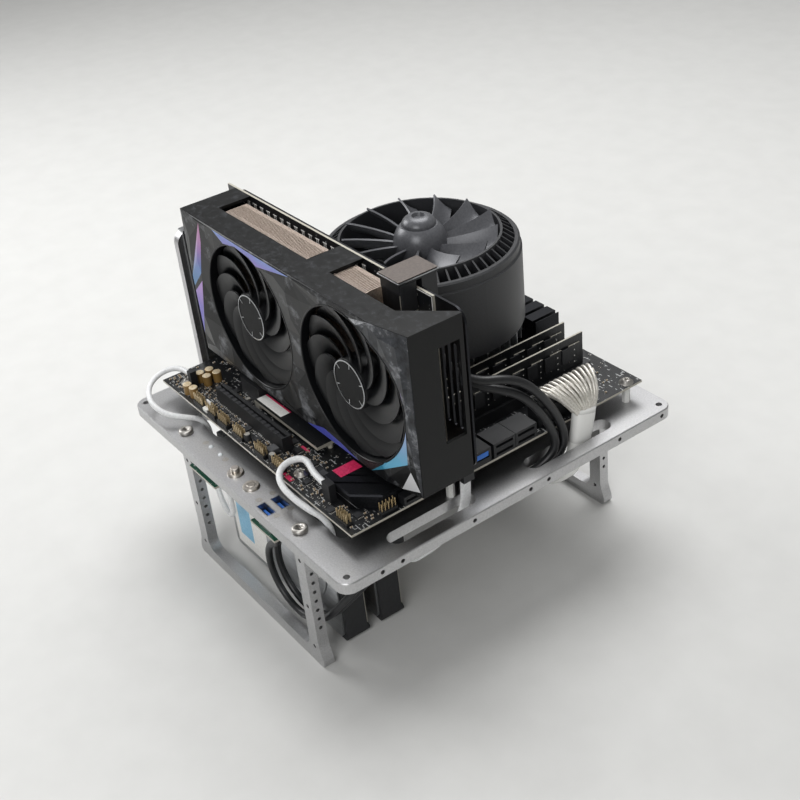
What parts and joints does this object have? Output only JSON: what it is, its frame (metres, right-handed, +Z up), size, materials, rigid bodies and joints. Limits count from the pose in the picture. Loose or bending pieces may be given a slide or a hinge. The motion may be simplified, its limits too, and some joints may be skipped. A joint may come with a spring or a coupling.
{
  "type": "open air test bench",
  "caption": "Open air test bench: slotted aluminium plate on leg frames, carrying a mounted computer with round processor cooler, graphics card, drives and cables.",
  "frame": {"origin": "on the floor below the centre of the top plate", "axes": "+Z up, -Y towards the control strip, +X towards the side cable slots, -X towards the rear ports"},
  "size_m": [0.276, 0.276, 0.2625],
  "materials": {
    "anodised_aluminium": "bead blasted and clear anodised",
    "stainless_steel": "machined, passivated",
    "nickel_plate": "bright nickel plated",
    "black_plastic": "fine moulded texture",
    "gloss_black_plastic": "polished moulding",
    "blue_plastic": "moulded",
    "clear_plastic": "polished, translucent",
    "black_circuit_board": "black solder mask on glass epoxy",
    "green_circuit_board": "dark solder mask on glass epoxy",
    "cast_aluminium": "die cast",
    "pressed_steel": "pressed sheet",
    "port_steel": "folded sheet",
    "gold_capacitor": "sleeved can",
    "black_aluminium": "black anodised",
    "bronze_fins": "thin oxidised sheet",
    "fin_aluminium": "extruded fins",
    "processor_lid": "nickel plated copper",
    "black_powder_coat": "matt powder coat",
    "white_sleeve": "braided sleeve and silvered wires",
    "black_rubber": "satin cable jacket",
    "white_cable": "satin cable jacket"
  },
  "bodies": {
    "bench": {"top_plate": "anodised_aluminium", "front_leg_frame": "anodised_aluminium", "rear_leg_frame": "anodised_aluminium", "leg_screws": "stainless_steel", "board_standoffs": "clear_plastic", "board_screws": "stainless_steel", "card_support_frame": "anodised_aluminium", "power_button_bezel": "nickel_plate", "reset_button_bezel": "nickel_plate", "usb_port_shells": "port_steel", "usb_port_tongues": "blue_plastic", "indicator_lights": "clear_plastic", "plate_screws": "stainless_steel", "panel_circuit_boards": "green_circuit_board", "drive_1_housing": "cast_aluminium", "drive_1_cover": "pressed_steel", "drive_1_circuit_board": "green_circuit_board", "drive_2_housing": "cast_aluminium", "drive_2_cover": "pressed_steel", "drive_2_circuit_board": "green_circuit_board", "motherboard": "black_circuit_board", "rear_port_stacks": "port_steel", "audio_capacitors": "gold_capacitor", "pin_headers": "black_plastic", "expansion_slots": "black_plastic", "memory_slots": "black_plastic", "memory_module_1": "black_circuit_board", "memory_module_2": "black_circuit_board", "main_power_socket": "black_plastic", "main_power_plug": "black_plastic", "sata_ports": "black_plastic", "chipset_heatsink": "black_aluminium", "regulator_heatsinks": "black_aluminium", "storage_stick": "black_circuit_board", "processor_socket": "black_plastic", "processor": "processor_lid", "cooler_base": "fin_aluminium", "cooler_fins": "fin_aluminium", "cooler_housing": "black_plastic", "cooler_motor": "black_plastic", "card_circuit_board": "black_circuit_board", "card_heatsink": "bronze_fins", "card_shroud": "black_plastic", "card_backplate": "black_aluminium", "card_bracket": "port_steel", "card_fan_motors": "black_plastic", "card_power_adapter": "black_aluminium", "power_supply": "black_powder_coat", "main_power_cable": "white_sleeve", "card_power_cables": "black_rubber", "usb_cables": "black_rubber", "panel_light_cable": "white_cable", "panel_switch_cable": "white_cable", "drive_data_cable": "white_cable", "cable_plugs": "black_plastic"},
    "power_button": {"power_button_cap": "nickel_plate"},
    "reset_button": {"reset_button_cap": "nickel_plate"},
    "cooler_rotor": {"cooler_impeller": "black_plastic"},
    "card_rotor_1": {"card_fan_1": "gloss_black_plastic"},
    "card_rotor_2": {"card_fan_2": "gloss_black_plastic"}
  },
  "joints": [
    {"name": "power_button_press", "type": "slide", "parent": "bench", "child": "power_button", "axis": [0, 0, -1], "range_m": [0, 0.0015], "stiffness_N_per_m": 300, "springref_m": -0.001},
    {"name": "reset_button_press", "type": "slide", "parent": "bench", "child": "reset_button", "axis": [0, 0, -1], "range_m": [0, 0.0015], "stiffness_N_per_m": 300, "springref_m": -0.001},
    {"name": "cooler_spin", "type": "hinge", "parent": "bench", "child": "cooler_rotor", "pos_m": [-0.005, 0.04, 0.21], "axis": [0, 0, 1], "continuous": true},
    {"name": "card_fan_1_spin", "type": "hinge", "parent": "bench", "child": "card_rotor_1", "pos_m": [-0.0388, -0.07, 0.1985], "axis": [0, -1, 0], "continuous": true},
    {"name": "card_fan_2_spin", "type": "hinge", "parent": "bench", "child": "card_rotor_2", "pos_m": [0.0769, -0.07, 0.1985], "axis": [0, -1, 0], "continuous": true}
  ]
}
